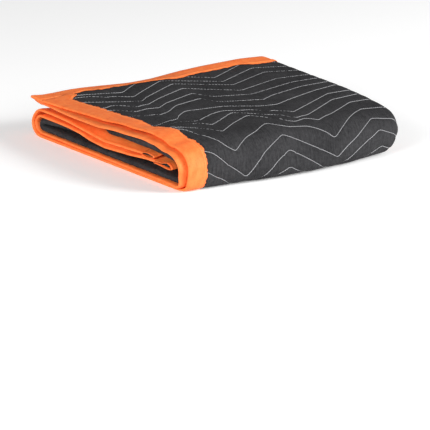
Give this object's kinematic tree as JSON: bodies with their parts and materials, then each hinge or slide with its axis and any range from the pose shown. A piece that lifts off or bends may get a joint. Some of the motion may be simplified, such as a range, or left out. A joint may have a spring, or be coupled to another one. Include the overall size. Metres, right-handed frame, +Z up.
{
  "type": "moving pad",
  "caption": "Quilted moving pad folded into a flat square bundle, with zigzag quilting and a contrasting bound edge",
  "frame": {"origin": "centre of the bounding box in plan, on the surface the pad lies on", "axes": "+Z up through the stack of layers, near fold facing -Y, free bound side edges facing -X"},
  "size_m": [0.5762, 0.6192, 0.1208],
  "materials": {
    "cloth": "charcoal woven polyester, quilted, faint sheen",
    "binding": "orange woven binding, folded over the edge and stitched"
  },
  "bodies": {
    "root": {"quilted_pad": "cloth", "binding_end_outer": "binding", "binding_end_inner": "binding", "binding_side_first": "binding", "binding_side_second": "binding"}
  },
  "joints": []
}
